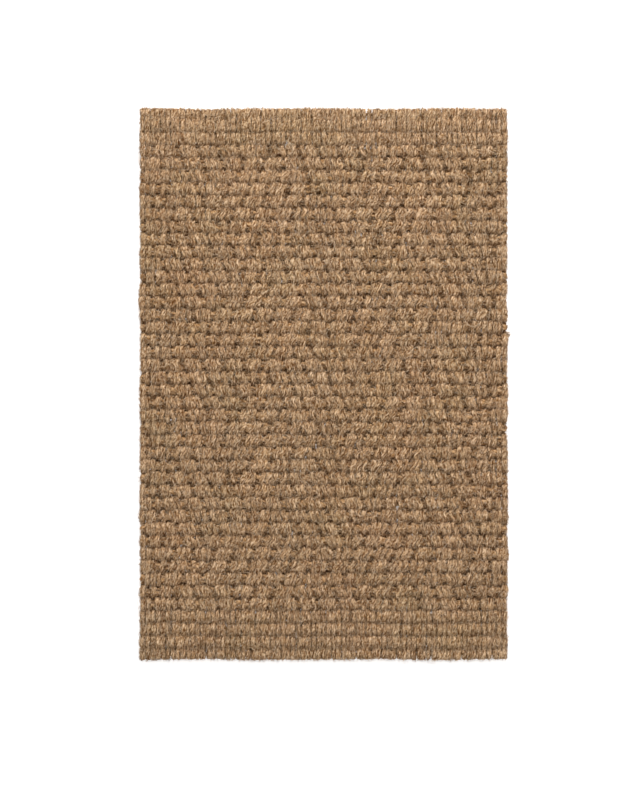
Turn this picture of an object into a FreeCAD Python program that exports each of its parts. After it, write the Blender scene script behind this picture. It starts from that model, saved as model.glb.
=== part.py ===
import FreeCAD, Part
import math
import os

# Door mat: a thick ribbed mat hand woven from coarse coir yarn.
# Straight weft cords lie side by side across the mat. Yarns, the warp ends, run the whole length and
# pass over and under them, so that each cord becomes one rounded rib. +X is the width, +Y the length
# and +Z up. The origin is the middle of the underside, on the floor. Every size is in millimetres.

# Driving dimensions
MAT_LENGTH = 600.0
ENDS = 73                   # warp yarns side by side, an odd number, so that one is in the middle
END_PITCH = 5.45
YARN_WIDTH = 5.35           # a yarn fills its place, less a hair's gap to its neighbour
YARN_THICK = 4.3
PICKS = 44                  # weft cords, one inside each rib
RIB_CORD_R = 3.5
EDGE_CORD_R = 1.7           # the thin first and last cords, which the yarns are turned round
YARN_GAP = 0.1              # between a yarn and the cord that it bends round
VALLEY_R = 3.0              # bend of a yarn's centre line where it sags between two ribs
EDGE_VALLEY_R = 6.0         # and beside an edge cord, where its own tail holds it up
TAIL_TURN = math.radians(20.0)  # where a yarn's tail ends, past the lowest point of its last cord
SELVEDGE_INSET = 1.0        # cord ends stay this far inside the outermost yarns
FOOT_DEPTH = 0.2            # a yarn is pressed flat this far where it lies on the floor

# The draft: which yarns go under which cords
REPEAT = 4                  # three yarns over the cord, then one under it
DRAFT_STEP = 1.47           # yarns that the pattern moves sideways from one cord to the next
DRAFT_START = 2.6
DIAMOND_ENDS = 24.9         # width of one diamond of the pattern, in yarns
DIAMOND_PICKS = 9.6         # its height, in cords
HEM_TOP = 3                 # cords inside the hem at the +Y edge
HEM_BOTTOM = 4              # and at the -Y edge
GROOVE_END = 33             # this yarn, counted from the middle, makes the groove inside each selvedge

# Nodes
YARNS_PER_NODE = 2
CORDS_PER_NODE = 4

HALF_ENDS = ENDS // 2
EDGE_REACH = EDGE_CORD_R + YARN_GAP + YARN_THICK
PICK_PITCH = (MAT_LENGTH - 2 * EDGE_REACH) / (PICKS - 1)
HALF_THICK = RIB_CORD_R + YARN_GAP + YARN_THICK
MIDDLE_Z = HALF_THICK - FOOT_DEPTH
CORD_LENGTH = (ENDS - 1) * END_PITCH + YARN_WIDTH - 2 * SELVEDGE_INSET
MIDDLE_PICK = (PICKS - 1) / 2


def pick_y(pick):
    """Where a weft cord lies along the mat; cord 0 is at the +Y edge."""
    return (MIDDLE_PICK - pick) * PICK_PITCH


def cord_radius(pick):
    return EDGE_CORD_R if pick in (0, PICKS - 1) else RIB_CORD_R


def goes_under(end, pick):
    """True where a yarn passes below a cord. Yarns are counted from the middle, cords from +Y."""
    if pick < HEM_TOP or pick >= PICKS - HEM_BOTTOM:
        return False
    if abs(end) == GROOVE_END:
        return pick % 2 == 0 and not goes_under(end - end // GROOVE_END, pick)
    if abs(end) > GROOVE_END:
        return (abs(end) + pick) % REPEAT == 1
    across = math.cos(2 * math.pi * end / DIAMOND_ENDS)
    along = math.cos(2 * math.pi * (pick - MIDDLE_PICK) / DIAMOND_PICKS)
    direction = 1 if across + along > 0 else -1
    return (end - direction * math.floor(DRAFT_STEP * pick + DRAFT_START)) % REPEAT == 0


def valley_radius(pick):
    """The sag between this cord and the next one."""
    return EDGE_VALLEY_R if pick in (0, PICKS - 2) else VALLEY_R


def run_arcs(picks, side):
    """A yarn's centre line over (side 1) or under (side -1) each cord in turn, towards -Y, as arcs
    (y, z, radius, first angle, last angle, way). z is counted from the mat's middle plane and angles
    from -Y. The way is 1 where the arc turns downwards on the yarn's run, and -1 upwards."""
    bend = [cord_radius(pick) + YARN_GAP + YARN_THICK / 2 for pick in picks]
    lean_in = [0.0] * len(picks)
    lean_out = [0.0] * len(picks)
    valleys = {}
    for i in range(len(picks) - 1):
        here, there = bend[i], bend[i + 1]
        if side[i] != side[i + 1]:
            lean_out[i] = math.asin((here + there) / PICK_PITCH)
            lean_in[i + 1] = lean_out[i]
            continue
        sag = valley_radius(picks[i])
        long, short = here + sag, there + sag
        along = (PICK_PITCH ** 2 + long ** 2 - short ** 2) / (2 * PICK_PITCH)
        height = math.sqrt(long ** 2 - along ** 2)
        lean_out[i] = math.atan2(along, height)
        lean_in[i + 1] = math.atan2(PICK_PITCH - along, height)
        valleys[i] = (pick_y(picks[i]) - along, side[i] * height)
    arcs = []
    quarter = math.pi / 2
    for i, pick in enumerate(picks):
        s = side[i]
        first, last = s * (quarter + lean_in[i]), s * (quarter - lean_out[i])
        arcs.append((pick_y(pick), 0.0, bend[i], first, last, s))
        if i in valleys:
            first, last = -s * (quarter + lean_out[i]), -s * (quarter - lean_in[i + 1])
            arcs.append((*valleys[i], valley_radius(pick), first, last, -s))
    return arcs


def backwards(arcs):
    return [(y, z, radius, last, first, -way) for y, z, radius, first, last, way in reversed(arcs)]


def yarn_arcs(end):
    """A yarn's whole centre line: a tail under the hem at +Y, round the edge cord, along the mat,
    round the other edge cord, and a tail under the hem at -Y."""
    main = run_arcs(range(PICKS), [-1 if goes_under(end, pick) else 1 for pick in range(PICKS)])
    top = run_arcs(range(HEM_TOP), [-1] * HEM_TOP)
    bottom = run_arcs(range(PICKS - HEM_BOTTOM, PICKS), [-1] * HEM_BOTTOM)
    turn_top = (*main[0][:3], top[0][4], main[0][4] - 2 * math.pi, 1)
    turn_bottom = (*main[-1][:3], main[-1][3], bottom[-1][3], 1)
    tail_top = (*top[-1][:4], top[-1][4] + TAIL_TURN, -1)
    tail_bottom = (*bottom[0][:3], bottom[0][3] - TAIL_TURN, *bottom[0][4:])
    start = backwards(top[1:-1] + [tail_top])
    finish = backwards([tail_bottom] + bottom[1:-1])
    return start + [turn_top] + main[1:-1] + [turn_bottom] + finish


def pressed(arc, offset):
    """The arc, cut in two where it would reach below the floor, so that a flat foot is left between."""
    y, z, radius, first, last, way = arc
    lowest = radius + way * offset
    if way * offset < 0 or z != 0 or lowest <= MIDDLE_Z or math.sin((first + last) / 2) > 0:
        return [arc]
    half = way * math.acos(MIDDLE_Z / lowest)
    down = -math.pi / 2
    return [(y, z, radius, first, down + half, way), (y, z, radius, down - half, last, way)]


def yarn_side(arcs, offset, x):
    """Edges of the yarn's upper side, or of its lower side where offset is negative."""
    edges = []
    before = None
    for y, z, radius, first, last, way in [part for arc in arcs for part in pressed(arc, offset)]:
        r = radius + way * offset
        angles = (first, (first + last) / 2, last)
        points = [
            FreeCAD.Vector(x, y - r * math.cos(a), MIDDLE_Z + z + r * math.sin(a)) for a in angles
        ]
        if before is not None and before.distanceToPoint(points[0]) > 1e-5:
            edges.append(Part.LineSegment(before, points[0]).toShape())
        elif before is not None:
            points[0] = before
        edges.append(Part.Arc(*points).toShape())
        before = points[2]
    return edges


def warp_yarn(end):
    """One yarn, from its turned-in end at +Y to the one at -Y."""
    x = end * END_PITCH - YARN_WIDTH / 2
    arcs = yarn_arcs(end)
    upper = yarn_side(arcs, YARN_THICK / 2, x)
    lower = yarn_side(arcs, -YARN_THICK / 2, x)
    caps = []
    for index, which in ((0, 0), (-1, 1)):
        ends = [side[index].Vertexes[which].Point for side in (upper, lower)]
        caps.append(Part.LineSegment(*ends).toShape())
    outline = Part.Wire(Part.__sortEdges__(upper + lower + caps))
    return Part.Face(outline).extrude(FreeCAD.Vector(YARN_WIDTH, 0, 0))


def weft_cord(pick):
    """One straight cord, from selvedge to selvedge."""
    start = FreeCAD.Vector(-CORD_LENGTH / 2, pick_y(pick), MIDDLE_Z)
    return Part.makeCylinder(cord_radius(pick), CORD_LENGTH, start, FreeCAD.Vector(1, 0, 0))


def write(node, solids):
    shape = solids[0] if len(solids) == 1 else Part.makeCompound(solids)
    shape.exportStep("parts/" + node + ".step")


def write_warp():
    """The middle yarn alone, then neighbours in pairs out to each selvedge."""
    write("warp_middle", [warp_yarn(0)])
    for name, hand in (("left", -1), ("right", 1)):
        for number, start in enumerate(range(1, HALF_ENDS + 1, YARNS_PER_NODE), 1):
            group = range(start, min(start + YARNS_PER_NODE, HALF_ENDS + 1))
            write("warp_%s_%02d" % (name, number), [warp_yarn(hand * end) for end in group])


def write_weft():
    """Edge cords and hem cords apart, and the rib cords in groups along the mat."""
    write("edge_cord_top", [weft_cord(0)])
    write("edge_cord_bottom", [weft_cord(PICKS - 1)])
    write("hem_cords_top", [weft_cord(p) for p in range(1, HEM_TOP)])
    write("hem_cords_bottom", [weft_cord(p) for p in range(PICKS - HEM_BOTTOM, PICKS - 1)])
    body = range(HEM_TOP, PICKS - HEM_BOTTOM)
    for number, start in enumerate(range(0, len(body), CORDS_PER_NODE), 1):
        write("rib_cords_%02d" % number, [weft_cord(p) for p in body[start:start + CORDS_PER_NODE]])


os.makedirs("parts", exist_ok=True)
write_warp()
write_weft()
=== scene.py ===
import math

import bpy
import numpy as np
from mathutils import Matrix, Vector


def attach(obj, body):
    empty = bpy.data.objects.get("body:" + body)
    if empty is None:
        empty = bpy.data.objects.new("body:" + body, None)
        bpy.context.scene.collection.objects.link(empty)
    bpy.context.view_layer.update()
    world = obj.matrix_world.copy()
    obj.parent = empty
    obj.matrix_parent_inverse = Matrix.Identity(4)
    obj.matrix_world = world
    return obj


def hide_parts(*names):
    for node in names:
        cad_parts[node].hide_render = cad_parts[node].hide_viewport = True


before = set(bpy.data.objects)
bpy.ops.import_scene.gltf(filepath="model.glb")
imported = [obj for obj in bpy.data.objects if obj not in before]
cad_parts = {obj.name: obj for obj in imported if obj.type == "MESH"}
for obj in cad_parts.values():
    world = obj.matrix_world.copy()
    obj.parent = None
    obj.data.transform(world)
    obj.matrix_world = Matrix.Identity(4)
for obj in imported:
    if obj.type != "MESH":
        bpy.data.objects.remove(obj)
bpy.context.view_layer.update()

# A ribbed door mat of hairy coir yarn. Each CAD yarn becomes a spun yarn with fibre ridges that wind
# round it, each CAD cord a coarser spun cord, and loose fibres cover the face, the edges and the back.
# Lengths are in millimetres until a mesh is made, which is in metres.

MM = 0.001

# ---------------------------------------------------------------- sizes, the same as in the CAD part

MAT_LENGTH = 600.0
ENDS = 73
END_PITCH = 5.45
YARN_WIDTH = 5.35
YARN_THICK = 4.3
PICKS = 44
RIB_CORD_R = 3.5
EDGE_CORD_R = 1.7
YARN_GAP = 0.1
VALLEY_R = 3.0
EDGE_VALLEY_R = 6.0
TAIL_TURN = math.radians(20.0)
SELVEDGE_INSET = 1.0
FOOT_DEPTH = 0.2
REPEAT = 4
DRAFT_STEP = 1.47
DRAFT_START = 2.6
DIAMOND_ENDS = 24.9
DIAMOND_PICKS = 9.6
HEM_TOP = 3
HEM_BOTTOM = 4
GROOVE_END = 33
YARNS_PER_NODE = 2
CORDS_PER_NODE = 4

HALF_ENDS = ENDS // 2
EDGE_REACH = EDGE_CORD_R + YARN_GAP + YARN_THICK
PICK_PITCH = (MAT_LENGTH - 2 * EDGE_REACH) / (PICKS - 1)
MIDDLE_Z = RIB_CORD_R + YARN_GAP + YARN_THICK - FOOT_DEPTH
MAT_WIDTH = (ENDS - 1) * END_PITCH + YARN_WIDTH
MIDDLE_PICK = (PICKS - 1) / 2

# ---------------------------------------------------------------- sizes of the spinning

YARN_STEP = 1.6             # between the rings of a yarn's mesh
YARN_SIDES = 16             # points in each ring
YARN_RIDGES = 6             # bundles of fibre seen round a yarn
YARN_LAY = 46.0             # length in which a bundle winds once round
CORD_STEP = 3.4
CORD_SIDES = 12
CORD_RIDGES = 6
CORD_LAY = 60.0
CORD_SWELL = 0.04           # how much a cord's thickness changes along it
SQUARENESS = 2.6            # 2 makes a yarn's section an ellipse, and more makes it a rounded box
RIDGE_DEPTH = 0.26          # how deep the furrows between bundles are, as a share of the half width
STREAK_DEPTH = 0.17         # the same of the streaks that single fibres make
GRAIN_DEPTH = 0.08          # and of the roughness from ring to ring
WIND_WAVE = 0.35            # how much the winding wanders, in radians, slowly
WIND_SHAKE = 0.25           # and quickly
FIBRE_STRETCH = 8.0         # how much longer than wide the fibre pattern is
FAN_BULGE = 0.5             # how far a cut end bulges, as a share of its half thickness
YARN_FULLNESS = 1.06        # how much wider than its place a yarn swells on a rib
VALLEY_PINCH = 0.06         # how much narrower it is between two ribs
VALLEY_RETURN = 0.12        # share of its move to the side that it gives up between two ribs
YARN_DRIFT = 0.25           # how far a yarn strays sideways along its length
YARN_BOB = 0.15             # and up and down
YARN_SWELL = 0.05           # and how much its thickness changes
SPREAD = 0.22               # share of a sunk yarn's place that its two neighbours take up
WIDEST = 1.42               # the most that a yarn spreads, in yarn pitches
SHOULDER = 1.05             # how much lower a yarn lies beside a sunk one
SHOULDER_VALLEY = 0.7       # share that is added to every drop between two ribs
VALLEY_FILL = 2.6           # how much less than in the CAD part a yarn sags between two ribs
HEM_FILL_TOP = 2.0          # the same in the +Y hem
HEM_FILL_BOTTOM = 0.3       # and in the -Y hem
LEAN = 0.27                 # how far a yarn leans along the twill across a rib, in yarn pitches
LEAN_FADE = 3.0             # yarns over which the lean fades out beside the selvedges
UNEVEN = 0.09               # chance differences of place and width where a yarn crosses a cord
UNEVEN_DROP = 0.28          # and of height
RIB_SWAY = 0.55             # how far a rib strays from a straight line
DIP_HAIRS = 15              # tangled fibres in each place where a yarn has sunk, in each of two pieces
DIP_RISE = 1.55             # how far a cord swells up between the yarns where one has sunk
DIP_SWELL = 0.8             # and how much of that makes it thicker
CORE_HAIRS = 6              # fibres deep between two yarns and two ribs
HAIR_WAVE = 0.3             # how much a hair waves, in radians
HAIR_SUNK = 0.15            # how deep its root sits
HAIR_TAPER = 0.45           # share of its thickness that it loses towards its tip
FLOOR_GAP = 0.05            # no fibre comes nearer to the floor
EDGE_HAIR = 3.2             # how far loose fibres reach past the mat's outline
FACE_HAIR = 2.0             # and above its face
TUFT_HAIR = 6.0             # how far the fibres of a tuft may reach past the outline
MAP_MARGIN = 0.04           # bare share at each side of a yarn's strip in the texture map
HAIR_MARGIN = 0.07          # and of a hair's square


def pick_y(pick):
    return (MIDDLE_PICK - pick) * PICK_PITCH


def cord_radius(pick):
    return EDGE_CORD_R if pick in (0, PICKS - 1) else RIB_CORD_R


def diamond(end, pick):
    """Above 0 where the twill runs down to the right, and below 0 where it runs down to the left."""
    across = np.cos(2 * math.pi * end / DIAMOND_ENDS)
    return across + np.cos(2 * math.pi * (pick - MIDDLE_PICK) / DIAMOND_PICKS)


def goes_under(end, pick):
    """True where a yarn passes below a cord. Yarns are counted from the middle, cords from +Y."""
    if pick < HEM_TOP or pick >= PICKS - HEM_BOTTOM:
        return False
    if abs(end) == GROOVE_END:
        return pick % 2 == 0 and not goes_under(end - end // GROOVE_END, pick)
    if abs(end) > GROOVE_END:
        return (abs(end) + pick) % REPEAT == 1
    direction = 1 if diamond(end, pick) > 0 else -1
    return (end - direction * math.floor(DRAFT_STEP * pick + DRAFT_START)) % REPEAT == 0


def valley_radius(pick):
    return EDGE_VALLEY_R if pick in (0, PICKS - 2) else VALLEY_R


def run_arcs(picks, side):
    """A yarn's centre line over (side 1) or under (side -1) each cord in turn, towards -Y, as arcs
    (y, z, radius, first angle, last angle), with z from the mat's middle plane."""
    bend = [cord_radius(pick) + YARN_GAP + YARN_THICK / 2 for pick in picks]
    lean_in = [0.0] * len(picks)
    lean_out = [0.0] * len(picks)
    valleys = {}
    for i in range(len(picks) - 1):
        here, there = bend[i], bend[i + 1]
        if side[i] != side[i + 1]:
            lean_out[i] = math.asin((here + there) / PICK_PITCH)
            lean_in[i + 1] = lean_out[i]
            continue
        sag = valley_radius(picks[i])
        long, short = here + sag, there + sag
        along = (PICK_PITCH ** 2 + long ** 2 - short ** 2) / (2 * PICK_PITCH)
        height = math.sqrt(long ** 2 - along ** 2)
        lean_out[i] = math.atan2(along, height)
        lean_in[i + 1] = math.atan2(PICK_PITCH - along, height)
        valleys[i] = (pick_y(picks[i]) - along, side[i] * height)
    arcs = []
    quarter = math.pi / 2
    for i, pick in enumerate(picks):
        s = side[i]
        arcs.append((pick_y(pick), 0.0, bend[i], s * (quarter + lean_in[i]), s * (quarter - lean_out[i])))
        if i in valleys:
            first, last = -s * (quarter + lean_out[i]), -s * (quarter - lean_in[i + 1])
            arcs.append((*valleys[i], valley_radius(pick), first, last))
    return arcs


def backwards(arcs):
    return [(y, z, radius, last, first) for y, z, radius, first, last in reversed(arcs)]


def yarn_arcs(end):
    """The whole centre line: tail, turn round the edge cord, the mat's length, turn and tail."""
    main = run_arcs(range(PICKS), [-1 if goes_under(end, pick) else 1 for pick in range(PICKS)])
    top = run_arcs(range(HEM_TOP), [-1] * HEM_TOP)
    bottom = run_arcs(range(PICKS - HEM_BOTTOM, PICKS), [-1] * HEM_BOTTOM)
    turn_top = (*main[0][:3], top[0][4], main[0][4] - 2 * math.pi)
    turn_bottom = (*main[-1][:4], bottom[-1][3])
    tail_top = (*top[-1][:4], top[-1][4] + TAIL_TURN)
    tail_bottom = (*bottom[0][:3], bottom[0][3] - TAIL_TURN, bottom[0][4])
    start = backwards(top[1:-1] + [tail_top])
    finish = backwards([tail_bottom] + bottom[1:-1])
    return start + [turn_top] + main[1:-1] + [turn_bottom] + finish


def evenly(points, step):
    """The same line with its points a step apart, and how far along it each one lies."""
    lengths = np.linalg.norm(np.diff(points, axis=0), axis=1)
    along = np.concatenate([[0.0], np.cumsum(lengths)])
    places = np.linspace(0.0, along[-1], int(along[-1] / step) + 1)
    return np.stack([np.interp(places, along, points[:, i]) for i in range(3)], axis=1), places


def slow_noise(places, wave, rng):
    """Smooth random values of about -1 to 1 that change over the given length."""
    total = np.zeros(len(places))
    for share in (1.0, 0.6, 0.35):
        total += share * np.sin(places * 2 * math.pi / (wave * share) + rng.uniform(0, 2 * math.pi))
    return total / 1.5


def unit(vectors):
    return vectors / np.maximum(np.linalg.norm(vectors, axis=-1, keepdims=True), 1e-9)


# ---------------------------------------------------------------- meshes

class Spun:
    """A spun yarn or cord: rings of points round a line, with fibre ridges that wind round it."""

    def __init__(self, line, places, flat, wide, thick, ridges, lay, sides, number, rng):
        along = unit(np.gradient(line, axis=0))
        across = unit(flat - (flat * along).sum(1)[:, None] * along)
        up = np.cross(along, across)
        turn = np.linspace(0.0, 2 * math.pi, sides, endpoint=False)[None, :]
        twist = places * 2 * math.pi / lay + WIND_WAVE * slow_noise(places, 70.0, rng)
        wound = turn - (twist + WIND_SHAKE * slow_noise(places, 15.0, rng))[:, None]
        box = np.abs(np.cos(turn)) ** SQUARENESS + np.abs(np.sin(turn)) ** SQUARENESS
        phase = rng.uniform(0, 2 * math.pi)
        main = np.abs(np.sin(ridges / 2 * wound + phase))
        second = np.abs(np.sin((ridges + 3) / 2 * wound + 0.8 * slow_noise(places, 33.0, rng)[:, None]))
        mixed = 0.5 + 0.5 * slow_noise(places, 25.0, rng)[:, None]
        relief = main * (1 - 0.5 * mixed) + second * 0.5 * mixed
        rough = rng.uniform(-1.0, 1.0, relief.shape)
        streak = (rough + np.roll(rough, 1, 0) + np.roll(rough, -1, 0)) / 1.7
        ridges_out = RIDGE_DEPTH * (1.2 * relief - 1)
        radius = box ** (-1 / SQUARENESS) * (1 + ridges_out + STREAK_DEPTH * streak + GRAIN_DEPTH * rough)
        x = np.cos(turn) * radius * wide[:, None]
        z = np.sin(turn) * radius * thick[:, None]
        rings = line[:, None, :] + x[..., None] * across[:, None, :] + z[..., None] * up[:, None, :]
        rings[..., 2] = np.maximum(rings[..., 2], FLOOR_GAP)
        core = np.stack([np.cos(wound), np.sin(wound)], axis=2) * wide.mean()
        length = np.broadcast_to(places[:, None, None] / FIBRE_STRETCH, core.shape[:2] + (1,))
        strand = np.concatenate([core, length], axis=2).reshape(-1, 3) + number * 7.3
        bulge = FAN_BULGE * thick
        caps = np.stack([line[0] - along[0] * bulge[0], line[-1] + along[-1] * bulge[-1]])
        self.points = np.concatenate([rings.reshape(-1, 3), caps])
        self.strand = np.concatenate([strand, strand[[0, -1]]])
        # painted shade: low where the surface sinks between the fibre ridges, which darkens the colour there,
        # and high on the ridges, which lightens it a little
        self.depth = np.concatenate([(relief + 0.55 * streak).reshape(-1), [0.5, 0.5]])
        self.hue = np.full(len(self.points), rng.uniform())
        self.rings, self.along = rings, along
        self.out = unit(rings - line[:, None, :])


def spun_faces(rings, sides, first_row, rows, strips):
    """Quads between rings of points and a fan at each end, with two cap points last, and the map of
    every corner: the yarn is cut into strips that lie side by side."""
    row = np.arange(rings - 1)[:, None]
    now = np.arange(sides)[None, :]
    then = (now + 1) % sides
    here, next_row = row * sides, (row + 1) * sides
    quads = np.stack([here + now, here + then, next_row + then, next_row + now], 2)
    strip = (first_row + row) // rows
    place = (first_row + row) % rows
    mapped_share = 1 - 2 * MAP_MARGIN
    left = (strip + MAP_MARGIN + mapped_share * now / sides) / strips
    right = (strip + MAP_MARGIN + mapped_share * (now + 1) / sides) / strips
    low = np.broadcast_to((place + 0.02) / rows, left.shape)
    high = np.broadcast_to((place + 0.98) / rows, left.shape)
    quad_map = np.stack([left, low, right, low, right, high, left, high], 2).reshape(-1, 4, 2)
    cap = rings * sides
    end = (rings - 1) * sides
    now, then = now[0], then[0]
    first_fan = np.stack([then, now, np.full(sides, cap)], 1)
    last_fan = np.stack([end + now, end + then, np.full(sides, cap + 1)], 1)
    fan_map = np.concatenate([quad_map[:sides][:, [1, 0, 3]], quad_map[-sides:][:, [3, 2, 1]]])
    return quads.reshape(-1, 4), np.concatenate([first_fan, last_fan]), quad_map, fan_map


def fill_mesh(name, points, quads, triangles, mapped, vectors, numbers):
    """A smooth mesh in metres, with its texture map, and vector and number attributes on its points."""
    mesh = bpy.data.meshes.new(name)
    corners = np.concatenate([quads.reshape(-1), triangles.reshape(-1)]).astype(np.int32)
    counts = np.concatenate([np.full(len(quads), 4), np.full(len(triangles), 3)]).astype(np.int32)
    starts = np.concatenate([[0], np.cumsum(counts)[:-1]]).astype(np.int32)
    mesh.vertices.add(len(points))
    mesh.vertices.foreach_set("co", (points * MM).astype(np.float32).reshape(-1))
    mesh.loops.add(len(corners))
    mesh.loops.foreach_set("vertex_index", corners)
    mesh.polygons.add(len(counts))
    mesh.polygons.foreach_set("loop_start", starts)
    mesh.polygons.foreach_set("loop_total", counts)
    mesh.update(calc_edges=True)
    mesh.polygons.foreach_set("use_smooth", np.ones(len(counts), dtype=bool))
    layer = mesh.uv_layers.new(name="OFBake")
    layer.data.foreach_set("uv", mapped.astype(np.float32).reshape(-1))
    for key, values in vectors.items():
        mesh.attributes.new(key, "FLOAT_VECTOR", "POINT").data.foreach_set(
            "vector", values.astype(np.float32).reshape(-1))
    for key, values in numbers.items():
        mesh.attributes.new(key, "FLOAT", "POINT").data.foreach_set("value", values.astype(np.float32))
    return mesh


def add_piece(name, mesh, material, nodes=()):
    obj = bpy.data.objects.new(name, mesh)
    bpy.context.scene.collection.objects.link(obj)
    mesh.materials.append(material)
    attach(obj, "root")
    if nodes:
        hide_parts(*nodes)


def spun_mesh(name, group, sides, step, round_length):
    """One mesh of several yarns or cords."""
    total = sum(len(s.rings) - 1 for s in group)
    strips = max(1, round(math.sqrt(total * step / round_length)))
    rows = math.ceil(total / strips)
    points, first_row, parts = 0, 0, []
    for s in group:
        quads, fans, quad_map, fan_map = spun_faces(len(s.rings), sides, first_row, rows, strips)
        parts.append((quads + points, fans + points, quad_map, fan_map))
        points += len(s.points)
        first_row += len(s.rings) - 1
    quads, fans, quad_map, fan_map = (np.concatenate(kind) for kind in zip(*parts))
    return fill_mesh(
        name,
        np.concatenate([s.points for s in group]),
        quads,
        fans,
        np.concatenate([quad_map.reshape(-1, 2), fan_map.reshape(-1, 2)]),
        {"strand": np.concatenate([s.strand for s in group])},
        {"depth": np.concatenate([s.depth for s in group]), "hue": np.concatenate([s.hue for s in group])},
    )


# ---------------------------------------------------------------- yarns and cords

def crowd(pick):
    """Where the yarns cross one cord: how far each has moved to +X and how wide it is, in yarn pitches,
    and how much it drops. Yarns on one side of the cord spread into the room that the others leave."""
    under = [goes_under(end, pick) for end in range(-HALF_ENDS, HALF_ENDS + 1)]
    rng = np.random.RandomState(700 + pick)
    moved, wide, drop = np.zeros(ENDS), np.ones(ENDS), np.zeros(ENDS)
    start = 0
    while start < ENDS:
        stop = start + 1
        while stop < ENDS and under[stop] == under[start]:
            stop += 1
        left = start - 0.5 - (SPREAD / 2 if start > 0 else 0.0)
        right = stop - 0.5 + (SPREAD / 2 if stop < ENDS else 0.0)
        count = stop - start
        wide[start:stop] = min((right - left) / count, WIDEST)
        place = (np.arange(count) - (count - 1) / 2) * wide[start] + (left + right) / 2
        moved[start:stop] = place - np.arange(start, stop)
        if not under[start]:
            drop[start] += SHOULDER * (start > 0)
            drop[stop - 1] += SHOULDER * (stop < ENDS)
        start = stop
    moved += rng.normal(0, UNEVEN, ENDS)
    wide *= rng.normal(1, UNEVEN, ENDS)
    drop += rng.normal(0, UNEVEN_DROP, ENDS)
    return moved, wide, drop


def rib_sway(pick, x):
    """How far a rib lies from its straight line, at places across the mat."""
    rng = np.random.RandomState(300 + pick)
    return RIB_SWAY * slow_noise(np.asarray(x, float) + 500.0, 170.0, rng)


def twill_lean(end, picks):
    """How far a yarn lies to +X of its place, in yarn pitches, at places counted in cords."""
    inside = np.minimum(picks - HEM_TOP + 1, PICKS - HEM_BOTTOM - picks)
    fade = np.clip(inside, 0.0, 1.0) * np.clip((GROOVE_END - abs(end)) / LEAN_FADE, 0.0, 1.0)
    return LEAN * fade * np.clip(3 * diamond(end, np.round(picks)), -1.0, 1.0) * np.sin(2 * math.pi * picks)


def spin_yarn(end, crowds):
    """A yarn along its CAD path, which spreads and leans into the room that a sunk neighbour leaves."""
    rng = np.random.RandomState(500 + end)
    line = []
    for y, z, radius, first, last in yarn_arcs(end):
        angles = np.linspace(first, last, max(3, int(radius * abs(last - first) / 0.5)))
        line += [(0.0, y - radius * math.cos(a), MIDDLE_Z + z + radius * math.sin(a)) for a in angles]
    line, places = evenly(np.array(line), YARN_STEP)
    cords = np.array([pick_y(pick) for pick in range(PICKS)])
    moved, wide, drop = (
        np.interp(-line[:, 1], -cords, [c[kind][end + HALF_ENDS] for c in crowds]) for kind in range(3))
    between = np.sin(math.pi * (line[:, 1] - cords[0]) / PICK_PITCH) ** 2
    under = np.array([goes_under(end, pick) for pick in range(PICKS)], float)
    dives = np.clip(2 * np.interp(-line[:, 1], -cords, under), 0.0, 1.0)
    sway = np.interp(-line[:, 1], -cords, [rib_sway(pick, [end * END_PITCH])[0] for pick in range(PICKS)])
    line[:, 0] = (end + moved * (1 - VALLEY_RETURN * between)) * END_PITCH
    line[:, 0] += YARN_DRIFT * slow_noise(places, 60.0, rng)
    line[:, 0] += twill_lean(end, (cords[0] - line[:, 1]) / PICK_PITCH) * END_PITCH
    line[:, 1] += sway
    upper = np.clip((line[:, 2] - MIDDLE_Z) / YARN_THICK, 0.0, 1.0)
    bounds = [PICKS - 1, PICKS - HEM_BOTTOM, PICKS - HEM_BOTTOM - 1, HEM_TOP, HEM_TOP - 1, 0]
    fill = np.interp(line[:, 1], cords[bounds], np.repeat([HEM_FILL_BOTTOM, VALLEY_FILL, HEM_FILL_TOP], 2))
    line[:, 2] += YARN_BOB * slow_noise(places, 43.0, rng) - drop * (1 + SHOULDER_VALLEY * between)
    line[:, 2] += fill * between * upper * (1 - dives)
    size = 1 + YARN_SWELL * slow_noise(places, 90.0, rng)
    half_wide = YARN_WIDTH / 2 * size * (YARN_FULLNESS * wide - VALLEY_PINCH * between)
    half_thick = YARN_THICK / 2 * size
    flat = np.tile([1.0, 0.0, 0.0], (len(line), 1))
    return Spun(line, places, flat, half_wide, half_thick, YARN_RIDGES, YARN_LAY, YARN_SIDES, end, rng)


def spin_cord(pick):
    """A weft cord, a little uneven, inside its rib."""
    rng = np.random.RandomState(900 + pick)
    half = MAT_WIDTH / 2 - SELVEDGE_INSET
    x = np.linspace(-half, half, 400)
    y = pick_y(pick) + rib_sway(pick, x)
    line, places = evenly(np.stack([x, y, np.full(400, MIDDLE_Z)], 1), CORD_STEP)
    ends = np.arange(-HALF_ENDS, HALF_ENDS + 1)
    rise = DIP_RISE * np.interp(line[:, 0] / END_PITCH, ends, [goes_under(end, pick) for end in ends])
    line[:, 2] += rise
    size = cord_radius(pick) * (1 + CORD_SWELL * slow_noise(places, 50.0, rng)) + DIP_SWELL * rise
    flat = np.tile([0.0, 1.0, 0.0], (len(line), 1))
    return Spun(line, places, flat, size, size, CORD_RIDGES, CORD_LAY, CORD_SIDES, 100 + pick, rng)


def make_warp(material):
    """Every yarn, in the same groups as the CAD nodes."""
    crowds = [crowd(pick) for pick in range(PICKS)]
    groups = {"warp_middle": [0]}
    for name, hand in (("left", -1), ("right", 1)):
        for number, start in enumerate(range(1, HALF_ENDS + 1, YARNS_PER_NODE), 1):
            group = range(start, min(start + YARNS_PER_NODE, HALF_ENDS + 1))
            groups["warp_%s_%02d" % (name, number)] = [hand * end for end in group]
    yarns = []
    round_length = 2 * (YARN_WIDTH + YARN_THICK) * 0.85
    for node, ends in groups.items():
        spun = [spin_yarn(end, crowds) for end in ends]
        yarns += spun
        mesh = spun_mesh(node, spun, YARN_SIDES, YARN_STEP, round_length)
        add_piece("yarns_" + node, mesh, material, [node])
    return yarns


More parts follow.
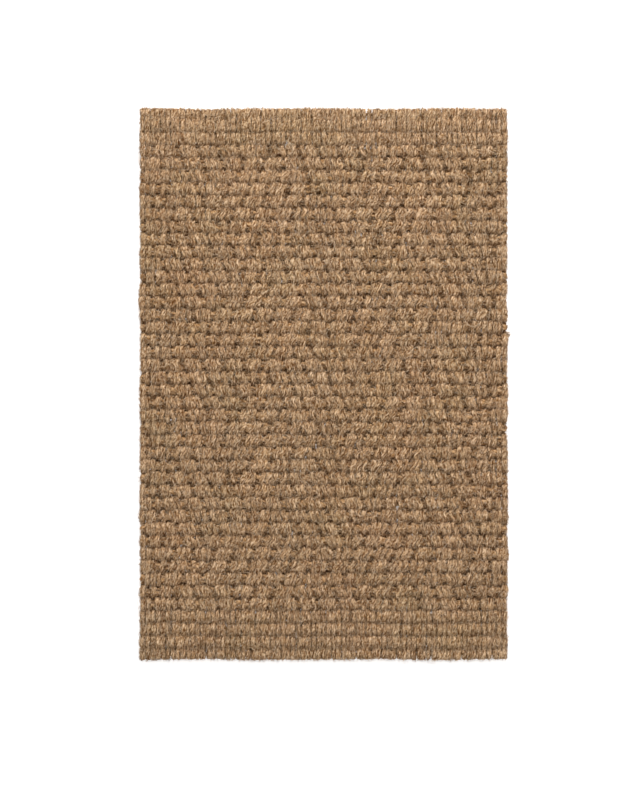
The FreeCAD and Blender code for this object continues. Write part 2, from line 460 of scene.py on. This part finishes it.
def make_weft(material):
    """Every cord, in the same groups as the CAD nodes."""
    body = range(HEM_TOP, PICKS - HEM_BOTTOM)
    groups = {
        "edge_cord_top": [0],
        "edge_cord_bottom": [PICKS - 1],
        "hem_cords_top": range(1, HEM_TOP),
        "hem_cords_bottom": range(PICKS - HEM_BOTTOM, PICKS - 1),
    }
    for number, start in enumerate(range(0, len(body), CORDS_PER_NODE), 1):
        groups["rib_cords_%02d" % number] = body[start:start + CORDS_PER_NODE]
    for node, picks in groups.items():
        cords = [spin_cord(pick) for pick in picks]
        mesh = spun_mesh(node, cords, CORD_SIDES, CORD_STEP, 2 * math.pi * RIB_CORD_R)
        add_piece("spun_" + node, mesh, material, [node])


# ---------------------------------------------------------------- loose fibres

def hair_faces(count, points):
    """Three-sided hairs that are closed at the root and end in a point, and the map of every corner:
    each hair has a small square of its own."""
    rings = points - 1
    each = rings * 3 + 1
    base = np.arange(count)[:, None] * each
    ring, side = (v.reshape(-1) for v in np.meshgrid(np.arange(rings - 1), np.arange(3), indexing="ij"))
    then = (side + 1) % 3
    one = np.stack([ring * 3 + side, ring * 3 + then, ring * 3 + 3 + then, ring * 3 + 3 + side], 1)
    last = (rings - 1) * 3
    tips = [[last + s, last + (s + 1) % 3, each - 1] for s in range(3)]
    quads = (base[..., None] + one[None]).reshape(-1, 4)
    triangles = (base[..., None] + np.array(tips + [[2, 1, 0]])[None]).reshape(-1, 3)
    columns = math.ceil(math.sqrt(count))
    corner = np.stack([np.arange(count) % columns, np.arange(count) // columns], 1) / columns
    low, high = ring / points, (ring + 1) / points
    left, right = side / 3, (side + 1) / 3
    quad_map = np.stack([left, low, right, low, right, high, left, high], 1).reshape(-1, 4, 2)
    tip_map = [[[s / 3, high[-1]], [(s + 1) / 3, high[-1]], [(s + 0.5) / 3, 1.0]] for s in range(3)]
    root_map = [[0.2, 0.0], [0.8, 0.0], [0.5, 0.3]]
    tip_map.append(root_map)
    mapped = []
    for one_map in (quad_map, np.array(tip_map)):
        flat = one_map.reshape(-1, 2) * (1 - 2 * HAIR_MARGIN) + HAIR_MARGIN
        mapped.append((corner[:, None, :] + flat[None] / columns).reshape(-1, 2))
    return quads, triangles, np.concatenate(mapped)


def hair_mesh(name, roots, along, out, length, radius, angle, curl, lift, points, reach, rng):
    """Thin hairs. Each leaves its root at an angle to the yarn, curls and lifts off it."""
    count = len(roots)
    t = np.linspace(0.0, 1.0, points)[None, :]
    heading = angle[:, None] + curl[:, None] * t + HAIR_WAVE * np.sin(
        t * rng.uniform(3.0, 9.0, (count, 1)) + rng.uniform(0, 6.3, (count, 1)))
    step = (length / (points - 1))[:, None]
    start = np.zeros((count, 1))
    forward = np.concatenate([start, np.cumsum(np.cos(heading[:, :-1]) * step, 1)], 1)
    sideways = np.concatenate([start, np.cumsum(np.sin(heading[:, :-1]) * step, 1)], 1)
    rise = lift[:, None] * np.sin(t * math.pi * rng.uniform(0.45, 1.0, (count, 1))) - HAIR_SUNK
    aside = np.cross(along, out)
    line = roots[:, None, :] + forward[..., None] * along[:, None, :]
    line = line + sideways[..., None] * aside[:, None, :]
    line = line + rise[..., None] * out[:, None, :]
    thin = radius[:, None] * (1.0 - HAIR_TAPER * t ** 2)
    high = 2 * MIDDLE_Z + FOOT_DEPTH + FACE_HAIR
    line = np.clip(
        line,
        [-MAT_WIDTH / 2 - reach, -MAT_LENGTH / 2 - reach, FLOOR_GAP + radius.max()],
        [MAT_WIDTH / 2 + reach, MAT_LENGTH / 2 + reach, high])
    tangent = unit(np.gradient(line, axis=1))
    one = unit(np.cross(tangent, out[:, None, :] + 1e-3))
    two = np.cross(tangent, one)
    turns = np.arange(3) * 2 * math.pi / 3
    rings = line[:, :-1, None, :] + thin[:, :-1, None, None] * (
        np.cos(turns)[None, None, :, None] * one[:, :-1, None, :]
        + np.sin(turns)[None, None, :, None] * two[:, :-1, None, :])
    each = np.concatenate([rings.reshape(count, -1, 3), line[:, -1:, :]], axis=1)
    tint = np.repeat(rng.uniform(0, 1, count), each.shape[1])
    quads, triangles, mapped = hair_faces(count, points)
    return fill_mesh(name, each.reshape(-1, 3), quads, triangles, mapped, {}, {"tint": tint})


class Surface:
    """Every point of the rings of yarns or cords, with the yarn's direction and the way out of it."""

    def __init__(self, spun):
        self.points = np.concatenate([s.rings.reshape(-1, 3) for s in spun])
        self.out = np.concatenate([s.out.reshape(-1, 3) for s in spun])
        self.along = np.concatenate([np.repeat(s.along, s.rings.shape[1], axis=0) for s in spun])

    def roots(self, wanted, count, rng):
        """Random places among those wanted, with the directions of a hair there."""
        chosen = rng.choice(np.flatnonzero(wanted), count)
        shaken = self.points[chosen] + rng.uniform(-0.6, 0.6, (count, 3))
        along = self.along[chosen] * rng.choice([-1.0, 1.0], (count, 1))
        out = self.out[chosen]
        return shaken, along, unit(out - (out * along).sum(1)[:, None] * along)


def make_fuzz(surface, material):
    """Short hairs over the yarns, longer ones across them, long curls, and hairs on the back and edges."""
    height, facing = surface.points[:, 2] - MIDDLE_Z, surface.out[:, 2]
    face = (height > 0.5) & (facing > 0.0)
    crest = height > 5.2
    back = (height < -1.0) & (facing < 0.1)
    from_middle = np.abs(surface.points)
    edge = (from_middle[:, 0] > MAT_WIDTH / 2 - 1.2) | (from_middle[:, 1] > MAT_LENGTH / 2 - 1.5)
    families = (
        # name, pieces, hairs in each, where, lengths, radii, mean angle, its scatter, curl, lift, points
        ("fuzz_face", 7, 16000, face, (2.2, 4.6), (0.18, 0.34), 0.0, 0.9, 1.4, (0.2, 1.5), 3),
        ("fuzz_across", 1, 9000, crest, (4.0, 10.0), (0.12, 0.20), 1.2, 0.7, 1.6, (0.1, 0.7), 5),
        ("fuzz_curls", 1, 1400, crest, (14.0, 34.0), (0.13, 0.22), 1.5, 1.5, 3.6, (0.5, 1.6), 12),
        ("fuzz_back", 1, 16000, back, (3.0, 9.0), (0.10, 0.17), 0.0, 0.6, 0.8, (0.1, 0.6), 3),
        ("fuzz_edge", 1, 6000, edge, (2.0, 6.0), (0.10, 0.16), 0.0, 0.6, 1.2, (0.4, 1.9), 4),
    )
    for name, pieces, count, where, lengths, radii, angle, scatter, curl, lift, points in families:
        for number in range(pieces):
            rng = np.random.RandomState(count + number)
            roots, along, out = surface.roots(where, count, rng)
            mesh = hair_mesh(
                name, roots, along, out,
                rng.uniform(*lengths, count),
                rng.uniform(*radii, count),
                rng.choice([-1.0, 1.0], count) * angle + rng.normal(0, scatter, count),
                rng.normal(0, curl, count),
                rng.uniform(*lift, count),
                points, EDGE_HAIR, rng)
            add_piece("%s_%d" % (name, number + 1), mesh, material)


def make_dip_fuzz(material):
    """Tangled fibres on the cords where a yarn has sunk below them, which fill each dip."""
    ends = range(-HALF_ENDS, HALF_ENDS + 1)
    dips = [(end, pick) for end in ends for pick in range(PICKS) if goes_under(end, pick)]
    dips = np.repeat(np.array(dips, float), DIP_HAIRS, axis=0)
    count = len(dips)
    for number in (1, 2):
        rng = np.random.RandomState(40 + number)
        turn = rng.uniform(-1.0, 1.0, count)
        out = np.stack([np.zeros(count), np.sin(turn), np.cos(turn)], 1)
        x = dips[:, 0] * END_PITCH + rng.normal(0, 1.3, count)
        y = pick_y(dips[:, 1]) + out[:, 1] * RIB_CORD_R
        roots = np.stack([x, y, MIDDLE_Z + DIP_RISE + out[:, 2] * RIB_CORD_R], 1)
        along = unit(np.cross(out, [1.0, 0.0, 0.0]))
        mesh = hair_mesh(
            "fuzz_dips", roots, along, out, rng.uniform(2.5, 5.5, count), rng.uniform(0.16, 0.28, count),
            rng.uniform(-math.pi, math.pi, count), rng.normal(0, 1.2, count), rng.uniform(0.6, 3.0, count), 4,
            EDGE_HAIR, rng)
        add_piece("fuzz_dips_%d" % number, mesh, material)


def make_core_fuzz(material):
    """Fibres deep between the yarns and the ribs, which close the gaps that light could pass through."""
    rng = np.random.RandomState(43)
    gaps = [(end + 0.5, pick + 0.5) for end in range(-HALF_ENDS, HALF_ENDS) for pick in range(PICKS - 1)]
    gaps = np.repeat(np.array(gaps), CORE_HAIRS, axis=0)
    count = len(gaps)
    x = gaps[:, 0] * END_PITCH + rng.normal(0, 1.2, count)
    y = pick_y(gaps[:, 1]) + rng.normal(0, 1.6, count)
    roots = np.stack([x, y, MIDDLE_Z + rng.uniform(-3.0, 0.0, count)], 1)
    along = np.stack([np.zeros(count), rng.choice([-1.0, 1.0], count), np.zeros(count)], 1)
    out = np.tile([0.0, 0.0, 1.0], (count, 1))
    mesh = hair_mesh(
        "fuzz_core", roots, along, out, rng.uniform(3.0, 6.0, count), rng.uniform(0.42, 0.58, count),
        rng.normal(0, 0.6, count), rng.normal(0, 0.6, count), rng.uniform(0.0, 1.0, count), 3, 0.0, rng)
    add_piece("fuzz_core", mesh, material)


def make_tufts(material):
    """A few places at the selvedges where a weft cord's end shows as a tuft."""
    tufts = (
        # side, place along the mat, hairs, how far they reach
        (1, 54.0, 60, 6.2),
        (-1, 284.0, 22, 2.6),
        (-1, 86.0, 18, 2.4),
        (1, -172.0, 14, 2.2),
        (-1, -95.0, 14, 2.0),
    )
    rng = np.random.RandomState(77)
    roots, out, length = [], [], []
    for hand, y, hairs, reach in tufts:
        roots.append(np.stack([
            np.full(hairs, hand * (MAT_WIDTH / 2 - 1.5)),
            y + rng.normal(0, 1.5, hairs),
            MIDDLE_Z + rng.normal(0, 1.8, hairs)], axis=1))
        out.append(np.tile([float(hand), 0.0, 0.0], (hairs, 1)))
        length.append(reach * rng.uniform(0.7, 1.3, hairs))
    roots, out, length = (np.concatenate(v) for v in (roots, out, length))
    total = len(roots)
    along = np.tile([0.0, 1.0, 0.0], (total, 1)) * rng.choice([-1.0, 1.0], (total, 1))
    mesh = hair_mesh(
        "tufts", roots, out, along, length, rng.uniform(0.13, 0.2, total), rng.normal(0, 0.5, total),
        rng.normal(0, 0.8, total), rng.uniform(0.2, 1.2, total), 5, TUFT_HAIR, rng)
    add_piece("tufts", mesh, material)


# ---------------------------------------------------------------- materials

class Nodes:
    """A material's node tree, with short ways to add and join its nodes."""

    def __init__(self, name):
        self.material = bpy.data.materials.new(name)
        self.material.use_nodes = True
        self.tree = self.material.node_tree
        self.shader = self.tree.nodes["Principled BSDF"]

    def add(self, kind, **settings):
        node = self.tree.nodes.new(kind)
        for key, value in settings.items():
            setattr(node, key, value)
        return node

    def join(self, source, target):
        self.tree.links.new(source, target)

    def attribute(self, name):
        return self.add("ShaderNodeAttribute", attribute_name=name)

    def noise(self, vector, scale, detail=3.0, roughness=0.6):
        node = self.add("ShaderNodeTexNoise")
        node.inputs["Scale"].default_value = scale
        node.inputs["Detail"].default_value = detail
        node.inputs["Roughness"].default_value = roughness
        self.join(vector, node.inputs["Vector"])
        return node.outputs["Fac"]

    def ramp(self, value, stops):
        node = self.add("ShaderNodeValToRGB")
        elements = node.color_ramp.elements
        while len(elements) < len(stops):
            elements.new(0.5)
        for element, (place, colour) in zip(elements, stops):
            element.position = place
            element.color = (*colour, 1.0)
        self.join(value, node.inputs["Fac"])
        return node.outputs["Color"]

    def math(self, operation, one, two):
        node = self.add("ShaderNodeMath", operation=operation)
        for socket, value in zip(node.inputs, (one, two)):
            if isinstance(value, (int, float)):
                socket.default_value = value
            else:
                self.join(value, socket)
        return node.outputs["Value"]

    def mix(self, mode, factor, one, two):
        node = self.add("ShaderNodeMix", data_type="RGBA", blend_type=mode)
        for name, value in (("Factor", factor), ("A", one), ("B", two)):
            socket = [s for s in node.inputs if s.name == name and s.enabled][0]
            if isinstance(value, (int, float)):
                socket.default_value = value
            elif isinstance(value, tuple):
                socket.default_value = (*value, 1.0)
            else:
                self.join(value, socket)
        return [s for s in node.outputs if s.enabled][0]


YARN_TONE = (0.985, 0.96, 0.92)
# painted shade: the cords, which lie deep in the mat, are coloured darker and more saturated than the yarns
CORD_PAINTED_SHADE_TONE = (0.88, 0.79, 0.66)
# painted shade: the colour that the furrows between the fibre ridges are darkened towards
FURROW_PAINTED_SHADE = (0.28, 0.155, 0.062)
SHEEN = 0.03                # coir is almost matt
DARK_FIBRE = (0.150, 0.072, 0.022)
BROWN_FIBRE = (0.430, 0.272, 0.150)
PALE_FIBRE = (0.670, 0.510, 0.355)
HAIR_BROWN = (0.400, 0.243, 0.125)


def patches(nodes, colour):
    """Slow changes of colour over the whole mat: pinker, greener and duller places."""
    place = nodes.add("ShaderNodeTexCoord").outputs["Object"]
    pink = nodes.ramp(nodes.noise(place, 16.0, 2.0), ((0.42, (1.0, 1.0, 1.0)), (0.72, (1.02, 0.99, 0.98))))
    green = nodes.ramp(nodes.noise(place, 23.0, 2.0), ((0.50, (1.0, 1.0, 1.0)), (0.75, (0.97, 0.985, 0.95))))
    return nodes.mix("MULTIPLY", 1.0, nodes.mix("MULTIPLY", 1.0, colour, pink), green)


def coir_material(name, tone):
    """Spun coir: thin pale and dark fibres that follow the twist, with painted shade between the ridges and a
    little painted light on their tops.
    """
    nodes = Nodes(name)
    strand = nodes.attribute("strand").outputs["Vector"]
    fine = nodes.noise(strand, 1.9, 4.0, 0.65)
    short = nodes.add("ShaderNodeVectorMath", operation="MULTIPLY")
    short.inputs[1].default_value = (1.0, 1.0, 3.6)
    nodes.join(strand, short.inputs[0])
    tufted = nodes.noise(short.outputs["Vector"], 0.95, 2.0, 0.55)
    mixed = nodes.math("ADD", nodes.math("MULTIPLY", fine, 0.45), nodes.math("MULTIPLY", tufted, 0.55))
    fibre = nodes.ramp(mixed, ((0.40, DARK_FIBRE), (0.49, BROWN_FIBRE), (0.59, PALE_FIBRE)))
    # painted shade in the furrows between the ridges and a little painted light on the ridge tops, both taken
    # from the relief of the surface
    depth = nodes.attribute("depth").outputs["Fac"]
    furrow_shade_colour = nodes.ramp(depth, ((0.0, FURROW_PAINTED_SHADE), (0.62, (1.0, 1.0, 1.0)), (1.0, (1.15, 1.15, 1.15))))
    hue = nodes.attribute("hue").outputs["Fac"]
    own = nodes.ramp(hue, ((0.0, (0.94, 0.94, 0.93)), (0.5, (1.0, 1.0, 1.0)), (1.0, (1.04, 1.02, 0.98))))
    colour = nodes.mix("MULTIPLY", 1.0, fibre, furrow_shade_colour)
    colour = nodes.mix("MULTIPLY", 1.0, colour, own)
    colour = nodes.mix("MULTIPLY", 1.0, patches(nodes, colour), tone)
    nodes.join(colour, nodes.shader.inputs["Base Color"])
    rough = nodes.ramp(fine, ((0.3, (0.98, 0.98, 0.98)), (0.8, (0.80, 0.80, 0.80))))
    nodes.join(rough, nodes.shader.inputs["Roughness"])
    bump = nodes.add("ShaderNodeBump")
    bump.inputs["Strength"].default_value = 0.9
    bump.inputs["Distance"].default_value = 0.6 * MM
    nodes.join(fine, bump.inputs["Height"])
    nodes.join(bump.outputs["Normal"], nodes.shader.inputs["Normal"])
    nodes.shader.inputs["Specular IOR Level"].default_value = SHEEN
    return nodes.material


def hair_material():
    """Loose fibres, each of its own shade from dark brown to straw."""
    nodes = Nodes("coir_hair")
    tint = nodes.attribute("tint").outputs["Fac"]
    colour = nodes.ramp(tint, ((0.0, (0.06, 0.024, 0.006)), (0.45, HAIR_BROWN), (1.0, (0.80, 0.63, 0.45))))
    nodes.join(patches(nodes, colour), nodes.shader.inputs["Base Color"])
    place = nodes.add("ShaderNodeTexCoord").outputs["Object"]
    rough = nodes.ramp(nodes.noise(place, 900.0), ((0.3, (0.95, 0.95, 0.95)), (0.7, (0.75, 0.75, 0.75))))
    nodes.join(rough, nodes.shader.inputs["Roughness"])
    nodes.shader.inputs["Specular IOR Level"].default_value = SHEEN
    return nodes.material


# ---------------------------------------------------------------- floor, lights and camera

FLOOR_HALF = 6.0            # metres
FLOOR_GLOW = 0.45           # a little light of its own keeps the floor white round the mat


def make_floor():
    mesh = bpy.data.meshes.new("floor")
    corners = ((-1, -1), (1, -1), (1, 1), (-1, 1))
    mesh.from_pydata([(FLOOR_HALF * x, FLOOR_HALF * y, 0) for x, y in corners], [], [(0, 1, 2, 3)])
    floor = bpy.data.objects.new("floor", mesh)
    bpy.context.scene.collection.objects.link(floor)
    nodes = Nodes("floor_white")
    nodes.shader.inputs["Base Color"].default_value = (0.93, 0.93, 0.93, 1.0)
    nodes.shader.inputs["Roughness"].default_value = 0.9
    nodes.shader.inputs["Emission Color"].default_value = (1.0, 1.0, 1.0, 1.0)
    nodes.shader.inputs["Emission Strength"].default_value = FLOOR_GLOW
    mesh.materials.append(nodes.material)
    floor.location.z = -0.2 * MM


def add_area(name, place, target, size, power, colour):
    light = bpy.data.lights.new(name, "AREA")
    light.shape = "RECTANGLE"
    light.size, light.size_y = size
    light.energy = power
    light.color = colour
    obj = bpy.data.objects.new(name, light)
    obj.location = place
    obj.rotation_euler = (Vector(target) - Vector(place)).to_track_quat("-Z", "Y").to_euler()
    bpy.context.scene.collection.objects.link(obj)


SKY_LIGHT = 0.48            # how strongly the pale surroundings light the mat
SKY_SEEN = 0.95             # and how bright they look


def make_lights():
    """One broad soft lamp past the +Y edge, low enough to shade every rib, and a weak fill above. The
    surroundings look brighter than the light that they give."""
    add_area("key", (0.1, 1.75, 1.6), (0, 0, 0), (1.2, 0.7), 49.0, (1.0, 0.99, 0.975))
    add_area("fill", (0.3, -0.4, 2.8), (0, 0, 0), (2.4, 2.4), 22.0, (0.98, 0.99, 1.0))
    world = bpy.data.worlds.new("world")
    world.use_nodes = True
    tree = world.node_tree
    background = tree.nodes["Background"]
    background.inputs["Color"].default_value = (1.0, 1.0, 1.0, 1.0)
    seen = tree.nodes.new("ShaderNodeMapRange")
    tree.links.new(tree.nodes.new("ShaderNodeLightPath").outputs["Is Camera Ray"], seen.inputs["Value"])
    seen.inputs["To Min"].default_value = SKY_LIGHT
    seen.inputs["To Max"].default_value = SKY_SEEN
    tree.links.new(seen.outputs["Result"], background.inputs["Strength"])
    bpy.context.scene.world = world


def make_camera():
    """Straight above the mat, which sits a little right of and above the frame's middle."""
    lens, sensor, frame_height = 85.0, 36.0, 0.8675
    data = bpy.data.cameras.new("camera")
    data.lens = lens
    data.sensor_width = sensor
    camera = bpy.data.objects.new("camera", data)
    camera.location = (-0.0039, -0.0173, 2 * MIDDLE_Z * MM + frame_height * lens / sensor)
    bpy.context.scene.collection.objects.link(camera)
    bpy.context.scene.camera = camera


yarn_surface = Surface(make_warp(coir_material("coir_yarn", YARN_TONE)))
make_weft(coir_material("coir_cord", CORD_PAINTED_SHADE_TONE))
hair = hair_material()
make_fuzz(yarn_surface, hair)
make_dip_fuzz(hair)
make_core_fuzz(hair)
make_tufts(hair)
make_floor()
make_lights()
make_camera()
bpy.context.scene.view_settings.view_transform = "Standard"
